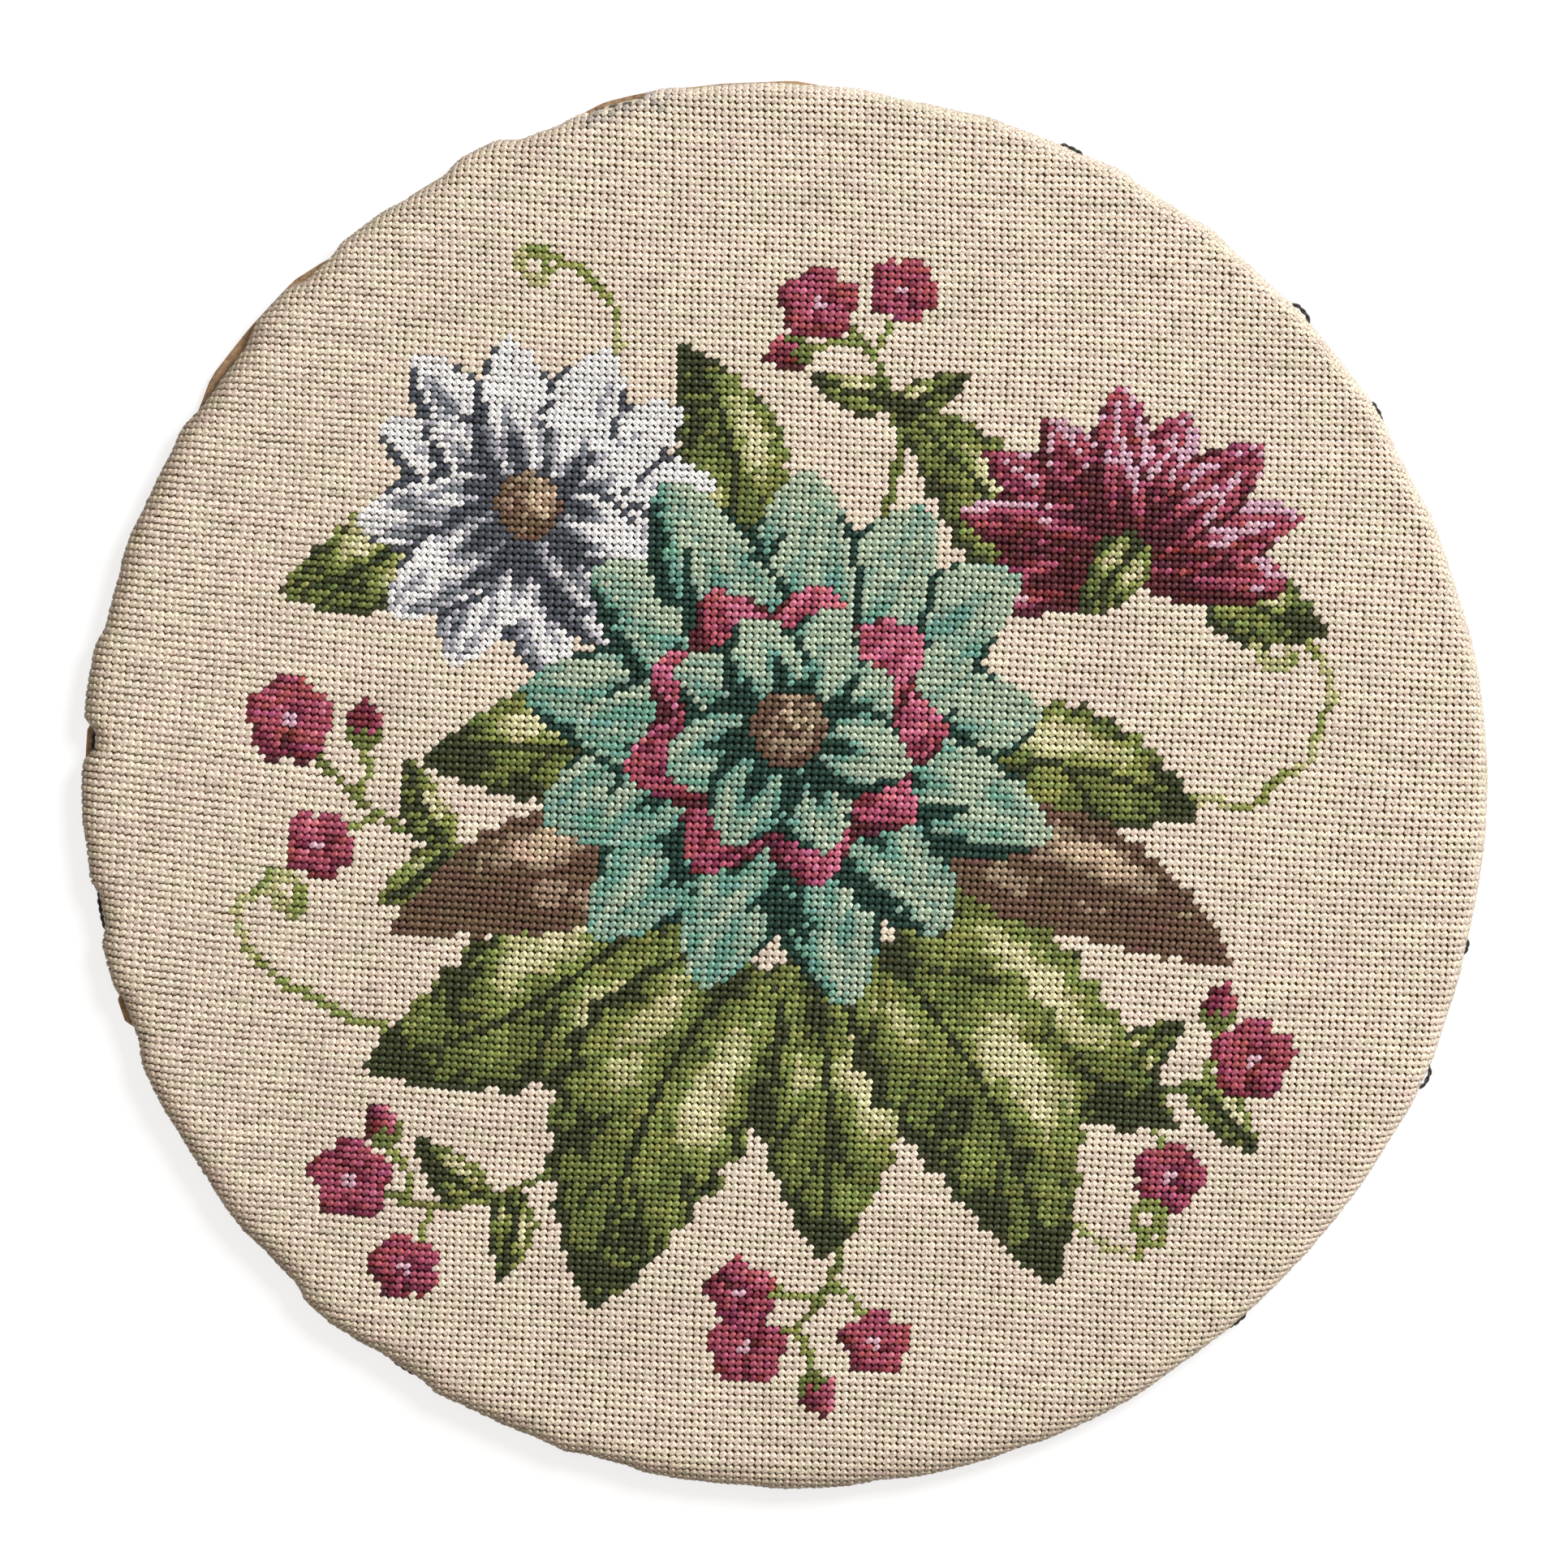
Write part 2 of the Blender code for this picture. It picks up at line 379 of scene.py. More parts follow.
def curve_through(places, steps=120):
    """Points along one smooth curve through three or more places."""
    places = np.array(places, float)
    knots = np.linspace(0.0, 1.0, len(places))
    steps = np.linspace(0.0, 1.0, steps)
    line = 0.0
    for knot, place in zip(knots, places):
        weight = np.prod([(steps - k) / (knot - k) for k in knots if k != knot], axis=0)
        line = line + np.outer(weight, place)
    return line


def work_stem(places, width, yarn):
    """A stem of one yarn along a curve."""
    nearest = np.full(CHART_X.shape, FAR_AWAY)
    for x, y in curve_through(places):
        nearest = np.minimum(nearest, np.hypot(CHART_X - x, CHART_Y - y))
    chart[nearest < width / 2] = YARN_NUMBER[yarn]


def work_tendril(places, curl):
    """A thin wavering line that ends in a small curl."""
    line = curve_through(places)
    ahead = line[-1] - line[-2]
    heading = math.atan2(ahead[1], ahead[0])
    reach, place, hook = abs(curl), line[-1], []
    for step in range(46):
        heading += math.copysign(0.16 + 0.0045 * step, curl)
        place = place + reach * 0.16 * np.array([math.cos(heading), math.sin(heading)])
        hook.append(place)
    nearest = np.full(CHART_X.shape, FAR_AWAY)
    waver = 0.9 * np.sin(np.arange(len(line) + len(hook)) * 0.24)
    for (x, y), sway in zip([*line, *hook], waver):
        nearest = np.minimum(nearest, np.hypot(CHART_X - x - sway, CHART_Y - y + sway))
    shaded(nearest < TENDRIL_WIDTH / 2, 0.5 + 0.5 * MOTTLE, TENDRIL_SHADES)


def work_petal(x, y, heading, start, end, width, shades, glow=0.0, point=0.8):
    """One petal: dark at its foot and along its shaded side, streaked, and light near its tip."""
    along, across = along_and_across(x, y, heading)
    share = np.clip((along - start) / (end - start), 0.0, 1.0)
    half = width / 2 * np.sin(math.pi * np.clip(share, 0.0, 1.0) ** point) ** 0.62 + 1e-6
    side = across / half
    inside = (along > start) & (along < end) & (np.abs(side) < 1)
    lit = lit_from(heading + 90)
    streak = 0.36 * np.sin(side * 8.0 + heading) * (1.2 - share)
    light = 0.10 + glow + 0.90 * share - 0.26 * share**6 + streak + 0.20 * lit * side
    light = light + 0.12 * lit_from(heading)
    light = np.where((side * lit < -0.60) & (share < 0.95), 0.02, light)
    light = np.where((np.abs(side) > 0.86) & (share < 0.80), 0.05, light)
    light = np.where(share < 0.20, 0.0, light)
    shaded(inside, light, shades, mottle=0.15)


def work_tier(x, y, start, end, count, first, spread, shades, fullness=1.3, glow=0.0, point=0.8):
    """Petals round (x, y) from the heading first on, no two quite alike."""
    own = np.random.default_rng(count * 100 + int(end))
    for number in sorted(range(count), key=lambda each: (each * 3) % count):
        heading = first + spread * (number + own.uniform(-0.12, 0.12)) / max(count, 1)
        tip = end * own.uniform(0.92, 1.06)
        width = fullness * 2 * 0.72 * end * math.tan(math.radians(spread / count / 2))
        work_petal(x, y, heading, start, tip, width, shades, glow, point)


def work_disc(x, y, radius, shades):
    """A round heart of a flower, lighter at its upper right."""
    away = np.hypot(CHART_X - x, CHART_Y - y)
    lit = (CHART_X - x + CHART_Y - y) / (2.8 * radius)
    light = 0.55 + 0.5 * lit - 0.4 * (away / radius) ** 4
    shaded(away < radius, light, shades, speckle=0.25)


def work_blossom(x, y, radius, turn):
    """A small blossom of five round petals, with a pale eye."""
    for number in range(5):
        angle = math.radians(turn + 72 * number)
        px, py = x + 0.58 * radius * math.cos(angle), y + 0.58 * radius * math.sin(angle)
        away = np.hypot(CHART_X - px, CHART_Y - py) / (0.50 * radius)
        lit = (CHART_X - px + CHART_Y - py) / (1.4 * radius)
        light = 0.62 + 0.42 * lit - 0.25 * away**3
        shaded(away < 1, light, ROSE_SHADES, speckle=0.05)
    eye = np.hypot(CHART_X - x, CHART_Y - y) < 0.20 * radius
    shaded(eye, np.full(CHART_X.shape, 0.9), ("wine", "lilac"))


def work_bud(x, y, heading, length):
    """A closed bud in its green cup."""
    along, across = along_and_across(x, y, heading)
    share = np.clip(along / length, 0.0, 1.0)
    half = 0.36 * length * np.sin(math.pi * share**0.8) ** 0.8 + 1e-6
    inside = (along > 0) & (along < length) & (np.abs(across) < half)
    lit = lit_from(heading + 90)
    shaded(inside, 0.55 + 0.45 * lit * across / half - 0.1 * share, ROSE_SHADES)
    cup = inside & (share < 0.36 + 0.14 * np.cos(across / half * 9))
    chart[cup] = YARN_NUMBER["leaf_green"]


def work_sprig(places, leaf_length, tip, twigs):
    """A thin stem with a blossom at its end, and with small leaves, blossoms and buds beside it.

    Each twig is how far along the stem it starts, its turn from the stem in degrees, what it
    bears, and how long it is.
    """
    line = curve_through(places)
    work_stem(places, STEM_WIDTH, "leaf_green")
    for share, turn, kind, reach in twigs:
        at = line[int(share * (len(line) - 2))]
        ahead = line[int(share * (len(line) - 2)) + 1] - at
        heading = math.degrees(math.atan2(ahead[1], ahead[0])) + turn
        angle = math.radians(heading)
        end = at + reach * np.array([math.cos(angle), math.sin(angle)])
        if kind == "leaf":
            work_leaf(*at, heading, leaf_length, 0.50 * leaf_length, 0.06 * leaf_length)
            continue
        work_stem((at, (at + end) / 2 + 1.2, end), TWIG_WIDTH, "bright_green")
        if kind == "bud":
            work_bud(*end, heading, TWIG_BUD)
        else:
            work_blossom(*end, TWIG_BLOSSOM, heading)
    work_blossom(*line[-1], tip, 20)


def work_chart():
    """The whole spray, from what lies behind to what lies in front."""
    work_sprig(
        ((-40, -8), (-84, -20), (-126, 8)), 24, 10.5,
        ((0.50, 52, "leaf", 0), (0.52, -50, "leaf", 0),
         (0.72, 60, "blossom", 17), (0.78, -55, "bud", 12)),
    )
    work_sprig(
        ((-24, -60), (-60, -104), (-104, -106)), 24, 10,
        ((0.55, 60, "leaf", 0), (0.62, -55, "leaf", 0),
         (0.78, 70, "blossom", 18), (0.84, -60, "bud", 14)),
    )
    work_sprig(
        ((6, -60), (20, -116), (-2, -143)), 22, 9.5,
        ((0.62, 58, "blossom", 20), (0.70, -62, "blossom", 20), (0.84, 75, "bud", 12)),
    )
    work_sprig(
        ((50, -44), (86, -70), (122, -62)), 24, 10,
        ((0.55, 58, "leaf", 0), (0.6, -62, "blossom", 24),
         (0.8, -62, "leaf", 0), (0.84, 60, "bud", 13)),
    )
    work_sprig(
        ((18, 60), (24, 96), (4, 122)), 22, 9.5,
        ((0.45, -62, "leaf", 0), (0.55, 58, "leaf", 0),
         (0.74, -58, "blossom", 19), (0.82, 60, "bud", 12)),
    )
    work_tendril(((-86, -70), (-112, -62), (-134, -48), (-128, -30)), -6)
    work_tendril(((66, -92), (88, -112), (102, -108)), 6)
    work_tendril(((96, 6), (122, 4), (136, 26), (124, 44)), 6)
    work_tendril(((-52, 96), (-48, 118), (-66, 132)), 5)
    Leaf = namedtuple("Leaf", "x y heading length width bow")
    for leaf in (
        Leaf(-34, 2, 182, 58, 30, -5),
        Leaf(-26, -26, 214, 92, 46, 7),
        Leaf(44, 6, 352, 62, 32, 6),
        Leaf(34, -26, 322, 88, 44, -6),
        Leaf(8, -42, 276, 78, 42, 4),
        Leaf(26, -38, 300, 98, 48, 7),
        Leaf(-8, -44, 250, 98, 52, -7),
        Leaf(-16, 60, 106, 52, 28, -5),
        Leaf(60, 52, 128, 60, 26, -4),
        Leaf(-96, 60, 212, 40, 24, 4),
        Leaf(104, 62, 330, 36, 22, -4),
    ):
        work_leaf(*leaf)
    work_leaf(42, -12, 340, 78, 30, 5, BROWN_SHADES)
    work_leaf(-34, -22, 197, 66, 30, -5, BROWN_SHADES)
    work_tier(-68, 66, 4, 45, 12, 8, 360, GREY_SHADES, 1.30, glow=0.08)
    work_tier(-68, 66, 3, 32, 9, 22, 360, GREY_SHADES, 1.20, glow=0.0)
    work_disc(-68, 66, 8.5, BROWN_SHADES)
    work_tier(84, 62, 0, 42, 9, -8, 230, WINE_SHADES, 1.45, glow=-0.05)
    work_tier(84, 62, 0, 30, 6, 6, 190, WINE_SHADES, 1.35, glow=-0.16)
    work_leaf(88, 66, 232, 26, 15, 0)
    work_tier(0, 14, 8, 68, 13, 6, 360, TEAL_SHADES, 1.35, glow=0.02)
    work_tier(0, 14, 8, 54, 11, 20, 360, TEAL_SHADES, 1.30, glow=0.0)
    work_tier(0, 14, 7, 40, 9, 2, 360, ROSE_SHADES, 1.25, glow=-0.06)
    work_tier(0, 14, 5, 31, 8, 24, 360, TEAL_SHADES, 1.25, glow=0.12)
    work_disc(0, 14, 9.5, BROWN_SHADES)


work_chart()


# Finishes

# How light and gloss play over a stitch: on average in the matt cream ground, and more strongly in the
# coloured yarns.
# Tones are from the darkest stitch to the lightest; hollow and crest are painted shade between the
# plies and painted highlight on them.
Play = namedtuple("Play", "darkest lightest hollow crest roughness specular")
GROUND_PLAY = Play(0.80, 1.16, 0.72, 1.10, 0.50, 0.25)
COLOURED_PLAY = Play(0.84, 1.36, 0.55, 1.30, 0.42, 0.50)
PLIES_ROUND = 4.0  # ridges round one stitch: real strands are finer, too fine to show in the render
PLY_TURN = 1.0  # how many ridges the plies move on by from one end of a stitch to the other
FIBRE_GRAIN = 0.55 * MM
THREAD_SHARE = 0.30  # of the pitch, from the middle of a canvas thread to its edge
THREAD_SOFTNESS = 0.08  # of the pitch, over which a thread's edge falls into the hole
THREAD_SHADE = 0.36  # of the light gets down to the threads between the stitches
HOLE_SHADE = 0.06  # and into the holes
BELOW_SATURATION = 2.6  # light that yarn throws on itself deepens its colour
BOARD_FIBRE = 1.2 * MM
BOARD_MOTTLE = 14 * MM


def yarn_finish(yarn):
    """Stranded cotton laid in plump stitches: matt, with a soft sheen and a slight ply.

    A stitch's mood is its tone, its warmth, and how stained and shaded it is: greyed by damp, or
    darkened by painted shade along the rim away from the lamp.
    """
    material, tree, shader = new_material("stranded_cotton_" + yarn.name)
    play = GROUND_PLAY if yarn.skein == "ground" else COLOURED_PLAY
    mood = put(tree, "ShaderNodeAttribute", attribute_name="stitch_mood")
    parts = put(tree, "ShaderNodeSeparateXYZ", {"Vector": mood.outputs["Vector"]})
    tone = put(
        tree, "ShaderNodeMapRange",
        {"Value": parts.outputs["X"], "From Min": -1.0,
         "To Min": play.darkest, "To Max": play.lightest},
    )
    warmth = put(
        tree, "ShaderNodeMapRange",
        {"Value": parts.outputs["Y"], "From Min": -1.0, "To Min": 0.46, "To Max": 0.54},
    )
    run = put(tree, "ShaderNodeUVMap", uv_map="yarn_run")
    place = put(tree, "ShaderNodeSeparateXYZ", {"Vector": run.outputs["UV"]})
    turned = put(
        tree, "ShaderNodeMath", {0: place.outputs["X"], 1: PLY_TURN}, operation="MULTIPLY"
    )
    laid = put(
        tree, "ShaderNodeMath",
        {0: place.outputs["Y"], 1: PLIES_ROUND, 2: turned.outputs[0]},
        operation="MULTIPLY_ADD",
    )
    wave = put(tree, "ShaderNodeMath", {0: laid.outputs[0], 1: math.pi}, operation="MULTIPLY")
    ply = put(tree, "ShaderNodeMath", {0: wave.outputs[0]}, operation="SINE")
    ridge = put(tree, "ShaderNodeMath", {0: ply.outputs[0]}, operation="ABSOLUTE")
    # painted shade in the hollows between the plies, and painted highlight on their crests
    ply_shade_and_highlight = put(
        tree, "ShaderNodeMapRange",
        {"Value": ridge.outputs[0], "To Min": play.hollow, "To Max": play.crest},
    )
    where = put(tree, "ShaderNodeTexCoord")
    fibres = put(
        tree, "ShaderNodeTexNoise",
        {"Vector": where.outputs["Object"], "Scale": 1.0 / FIBRE_GRAIN, "Detail": 2.0},
    )
    fleck = put(
        tree, "ShaderNodeMapRange",
        {"Value": fibres.outputs["Fac"], "From Min": 0.32, "From Max": 0.68,
         "To Min": 0.62, "To Max": 1.28},
    )
    value = put(
        tree, "ShaderNodeMath", {0: tone.outputs[0], 1: ply_shade_and_highlight.outputs[0]}, operation="MULTIPLY"
    )
    flecked = put(
        tree, "ShaderNodeMath", {0: value.outputs[0], 1: fleck.outputs[0]}, operation="MULTIPLY"
    )
    # the mood's third part: greying where damp stained the stitches, and painted shade that darkens and
    # deepens the rim stitches away from the lamp
    stain_and_shade = put(tree, "ShaderNodeMath", {0: parts.outputs["Z"]}, operation="ABSOLUTE")
    stain_and_shade_darkening = put(
        tree, "ShaderNodeMapRange", {"Value": stain_and_shade.outputs[0], "To Min": 1.0, "To Max": 0.45}
    )
    stained_and_shaded = put(
        tree, "ShaderNodeMath", {0: flecked.outputs[0], 1: stain_and_shade_darkening.outputs[0]}, operation="MULTIPLY"
    )
    fading_and_shade_deepening = put(
        tree, "ShaderNodeMapRange",
        {"Value": parts.outputs["Z"], "From Min": -1.0, "To Min": 0.55, "To Max": 1.45},
    )
    dyed = put(
        tree, "ShaderNodeHueSaturation",
        {"Color": from_hex(yarn.colour), "Value": stained_and_shaded.outputs[0], "Hue": warmth.outputs[0],
         "Saturation": fading_and_shade_deepening.outputs[0]},
    )
    relief = put(
        tree, "ShaderNodeMath",
        {0: fibres.outputs["Fac"], 1: 1.4, 2: ridge.outputs[0]}, operation="MULTIPLY_ADD",
    )
    bump = put(
        tree, "ShaderNodeBump",
        {"Height": relief.outputs[0], "Strength": 0.9, "Distance": 0.20 * MM},
    )
    tree.links.new(dyed.outputs["Color"], shader.inputs["Base Color"])
    tree.links.new(bump.outputs["Normal"], shader.inputs["Normal"])
    shader.inputs["Roughness"].default_value = play.roughness
    shader.inputs["Specular IOR Level"].default_value = play.specular
    shader.inputs["Sheen Weight"].default_value = 0.05
    shader.inputs["Sheen Roughness"].default_value = 0.4
    return material


def canvas_finish():
    """Starched mono canvas: painted shade on its threads and deeper painted shade in its holes, tinted
    by painted bounce light from the yarn over them.
    """
    material, tree, shader = new_material("starched_cotton_canvas")
    threads = put(tree, "ShaderNodeUVMap", uv_map="threads")
    place = put(tree, "ShaderNodeSeparateXYZ", {"Vector": threads.outputs["UV"]})
    gaps = []
    for axis in ("X", "Y"):
        share = put(
            tree, "ShaderNodeMath", {0: place.outputs[axis], 1: 1.0}, operation="PINGPONG"
        )
        gaps.append(
            put(
                tree, "ShaderNodeMapRange",
                {"Value": share.outputs[0], "From Min": THREAD_SHARE,
                 "From Max": THREAD_SHARE + THREAD_SOFTNESS},
            )
        )
    hole = put(
        tree, "ShaderNodeMath", {0: gaps[0].outputs[0], 1: gaps[1].outputs[0]}, operation="MULTIPLY"
    )
    shade = put(
        tree, "ShaderNodeMapRange",
        {"Value": hole.outputs[0], "To Min": THREAD_SHADE, "To Max": HOLE_SHADE},
    )
    yarn = put(tree, "ShaderNodeAttribute", attribute_name="yarn_below")
    colour = put(
        tree, "ShaderNodeHueSaturation",
        {"Color": yarn.outputs["Color"], "Value": shade.outputs[0],
         "Saturation": BELOW_SATURATION},
    )
    bump = put(
        tree, "ShaderNodeBump",
        {"Height": hole.outputs[0], "Strength": 1.0, "Distance": -0.3 * MM},
    )
    tree.links.new(colour.outputs["Color"], shader.inputs["Base Color"])
    tree.links.new(bump.outputs["Normal"], shader.inputs["Normal"])
    shader.inputs["Roughness"].default_value = 0.9
    shader.inputs["Specular IOR Level"].default_value = 0.2
    return material


def board_finish():
    """Raw pressed wood board: brown matted fibres, mottled, and matt all over."""
    material, tree, shader = new_material("raw_pressed_wood")
    where = put(tree, "ShaderNodeTexCoord")
    fibres = put(
        tree, "ShaderNodeTexNoise",
        {"Vector": where.outputs["Object"], "Scale": 1.0 / BOARD_FIBRE, "Detail": 5.0,
         "Roughness": 0.65, "Distortion": 0.6},
    )
    mottle = put(
        tree, "ShaderNodeTexNoise",
        {"Vector": where.outputs["Object"], "Scale": 1.0 / BOARD_MOTTLE, "Detail": 3.0},
    )
    both = put(
        tree, "ShaderNodeMath",
        {0: mottle.outputs["Fac"], 1: 0.8, 2: fibres.outputs["Fac"]}, operation="MULTIPLY_ADD",
    )
    colours = put(tree, "ShaderNodeValToRGB", {"Fac": both.outputs[0]})
    ramp = colours.color_ramp
    ramp.elements[0].position, ramp.elements[0].color = 0.62, from_hex("#5E4632")
    ramp.elements[1].position, ramp.elements[1].color = 1.0, from_hex("#A98A69")
    bump = put(
        tree, "ShaderNodeBump",
        {"Height": fibres.outputs["Fac"], "Strength": 0.6, "Distance": 0.25 * MM},
    )
    rough = put(
        tree, "ShaderNodeMapRange",
        {"Value": fibres.outputs["Fac"], "To Min": 0.72, "To Max": 0.92},
    )
    tree.links.new(colours.outputs["Color"], shader.inputs["Base Color"])
    tree.links.new(bump.outputs["Normal"], shader.inputs["Normal"])
    tree.links.new(rough.outputs[0], shader.inputs["Roughness"])
    shader.inputs["Specular IOR Level"].default_value = 0.3
    return material


def cord_finish():
    """Black mercerised cotton cord: near black, with a slight gloss along the plies."""
    material, tree, shader = new_material("black_cotton_cord")
    where = put(tree, "ShaderNodeTexCoord")
    fibres = put(
        tree, "ShaderNodeTexNoise",
        {"Vector": where.outputs["Object"], "Scale": 1.0 / FIBRE_GRAIN, "Detail": 3.0},
    )
    colours = put(tree, "ShaderNodeValToRGB", {"Fac": fibres.outputs["Fac"]})
    colours.color_ramp.elements[0].color = from_hex("#161513")
    colours.color_ramp.elements[1].color = from_hex("#3A3733")
    bump = put(
        tree, "ShaderNodeBump",
        {"Height": fibres.outputs["Fac"], "Strength": 0.5, "Distance": 0.1 * MM},
    )
    tree.links.new(colours.outputs["Color"], shader.inputs["Base Color"])
    tree.links.new(bump.outputs["Normal"], shader.inputs["Normal"])
    shader.inputs["Roughness"].default_value = 0.6
    shader.inputs["Sheen Weight"].default_value = 0.1
    return material


# The stitches

STITCH_RINGS = 4
TOP_WIDTH = 0.54 * PITCH  # across its two upper edges
SIDE_WIDTH = 0.98 * PITCH  # and its two lower ones
SHOULDER_PLACE = 0.56 * PITCH  # from its middle to where it turns down into the hole
SHOULDER_TAPER = 0.95
SHOULDER_DROP = 0.09 * PITCH


def one_stitch():
    """One plump stitch, modelled along X: its corners, its faces and its yarn_run map."""
    deselect_all()
    bpy.ops.mesh.primitive_uv_sphere_add(segments=4, ring_count=STITCH_RINGS, radius=1.0)
    stitch = bpy.context.object
    middle = (0, 0, 0)
    corner_share = math.sqrt(0.5)  # where the corners of its square section stand, and its rings
    bpy.ops.object.mode_set(mode="EDIT")
    bpy.ops.mesh.select_all(action="SELECT")
    bpy.ops.transform.rotate(value=math.pi / 4, orient_axis="Z", center_override=middle)
    bpy.ops.transform.rotate(value=math.pi / 2, orient_axis="Y", center_override=middle)
    bpy.ops.transform.resize(
        value=(
            STITCH_LENGTH / 2,
            TOP_WIDTH / 2 / corner_share,
            STITCH_HEIGHT / 2 / corner_share,
        ),
        center_override=middle,
    )
    ring_move = SHOULDER_PLACE / (corner_share * STITCH_LENGTH / 2)
    ring_taper = SHOULDER_TAPER / corner_share
    lower_edges = (1, SIDE_WIDTH / TOP_WIDTH, 1)
    shoulders = (ring_move, ring_taper, ring_taper)
    for chosen, grow, move in (
        (lambda place, far: place.z < -0.1 * STITCH_HEIGHT, lower_edges, 0.0),
        (lambda place, far: 0.5 < far < 0.9, shoulders, -SHOULDER_DROP),
        (lambda place, far: far > 0.9, (1, 1, 1), -STITCH_END_DIP),  # its two tips
    ):
        bpy.ops.mesh.select_mode(type="VERT")
        bpy.ops.mesh.select_all(action="DESELECT")
        bpy.ops.object.mode_set(mode="OBJECT")
        for corner in stitch.data.vertices:
            corner.select = chosen(corner.co, abs(corner.co.x) / (STITCH_LENGTH / 2))
        bpy.ops.object.mode_set(mode="EDIT")
        bpy.ops.transform.resize(value=grow, center_override=middle)
        bpy.ops.transform.translate(value=(0, 0, move))
    bpy.ops.object.mode_set(mode="OBJECT")
    corners = np.array([v.co for v in stitch.data.vertices])
    faces = [list(face.vertices) for face in stitch.data.polygons]
    tip = np.abs(corners[:, 0]) > 0.95 * STITCH_LENGTH / 2
    run = []
    for face in faces:
        left = corners[face, 1].mean() > 0
        turns = []
        for corner in face:
            turn = abs(math.atan2(corners[corner, 1], corners[corner, 2]) / (2 * math.pi))
            turns.append(None if tip[corner] else -turn if left else turn)
        known = [turn for turn in turns if turn is not None]
        for corner, turn in zip(face, turns):
            along = 0.5 + corners[corner, 0] / STITCH_LENGTH
            around = sum(known) / len(known) if turn is None else turn
            run.append((along, 0.5 + around))
    bpy.data.objects.remove(stitch, do_unlink=True)
    return corners, faces, np.array(run)


STITCH, STITCH_FACES, STITCH_RUN = one_stitch()


def soft_noise(along_rows, along_columns):
    """An even noise over the chart, smoothed over so many stitches each way, from -1 to 1."""
    noise = random.normal(size=CHART_X.shape)
    for axis, reach in ((1, along_rows), (0, along_columns)):
        kernel = np.hanning(2 * reach + 3)[1:-1]
        kernel /= np.sqrt((kernel**2).sum())
        noise = np.apply_along_axis(np.convolve, axis, noise, kernel, "same")
    return np.clip(noise / 2.2, -1.0, 1.0)


# How the stitches differ: in tone and warmth, in slant, in how full and long they are, and in place
SLUB = soft_noise(6, 0)  # thick and thin places along the working yarn
TONE = np.clip(0.45 * SLUB + 0.45 * soft_noise(1, 0) + 0.10 * soft_noise(14, 9), -1, 1)
WARMTH = np.clip(0.5 * soft_noise(2, 0) + 0.4 * soft_noise(0, 0) + 0.12 * soft_noise(9, 6), -1, 1)
SLANT_JITTER = 12.0 * soft_noise(1, 1)
FULLNESS = 1.0 + 0.14 * soft_noise(0, 0)
STRETCH = 1.0 + 0.08 * soft_noise(0, 0)
LIFT_JITTER = 0.12 * MM * soft_noise(0, 0)
ROW_JITTER = 0.03 * soft_noise(7, 0) + 0.045 * soft_noise(0, 0)  # in parts of the pitch
COLUMN_JITTER = 0.03 * soft_noise(0, 7) + 0.045 * soft_noise(0, 0)


# A short place at the top of the rim where the outermost stitches are missing
BARE_ANGLES = (101.5, 106.5)
BARE_WIDTH = 2.3 * PITCH
# The stitches next to it are greyed by damp, and those round the left and lower rim, on the side away
# from the lamp, get painted shade
GREYED_ANGLES = (99.5, 107.0)
EDGE_MARGIN = 0.35 * PITCH  # no stitch stands nearer than this to the cut edge
GREYED_WIDTH = 4.4 * PITCH
# painted shade along the rim: how far in it reaches, and the heading away from the lamp where it is
# darkest
RIM_SHADE_WIDTH = 3.2 * PITCH
RIM_SHADE_HEADING = math.radians(205.0)


def stitched_area():
    """Which crossings carry a stitch, which lie bare inside the cut edge, and how stained and shaded
    they are.

    This runs from -1, greyed by damp, over 0, clean, to 1, darkened by painted shade along the rim away
    from the lamp.
    """
    x, y = on_flat_cut(COLUMNS, ROWS)
    angle = np.arctan2(y, x)
    rim = radius_at(angle, RIM)
    widest = rim + SHOULDER_RADIUS * (math.pi / 2 - 1)
    from_edge = widest - np.hypot(x, y)
    inside = from_edge > widest - rim + SHOULDER_RADIUS - TURNED_LENGTH + EDGE_MARGIN
    towards = np.cos(angle - RIM_SHADE_HEADING)
    angle = np.degrees(angle)
    between = (angle > BARE_ANGLES[0]) & (angle < BARE_ANGLES[1])
    bare = inside & between & (from_edge < BARE_WIDTH)
    # painted shade: stitches nearest the rim are darkened most on the side away from the lamp
    painted_rim_shade = np.exp(-np.clip(from_edge / RIM_SHADE_WIDTH, 0.0, None) ** 2)
    painted_rim_shade = painted_rim_shade * np.clip(0.45 + 0.9 * towards, 0.0, 1.0)
    between = (angle > GREYED_ANGLES[0]) & (angle < GREYED_ANGLES[1])
    greyed = between & (from_edge < GREYED_WIDTH)
    damp = np.clip(0.15 + 0.65 * SPECKLE, 0.0, 1.0)  # in patches, as it dries
    return inside & ~bare, bare, np.where(greyed, -damp, painted_rim_shade)


STITCHED, BARE, DAMP_STAIN_AND_RIM_SHADE = stitched_area()


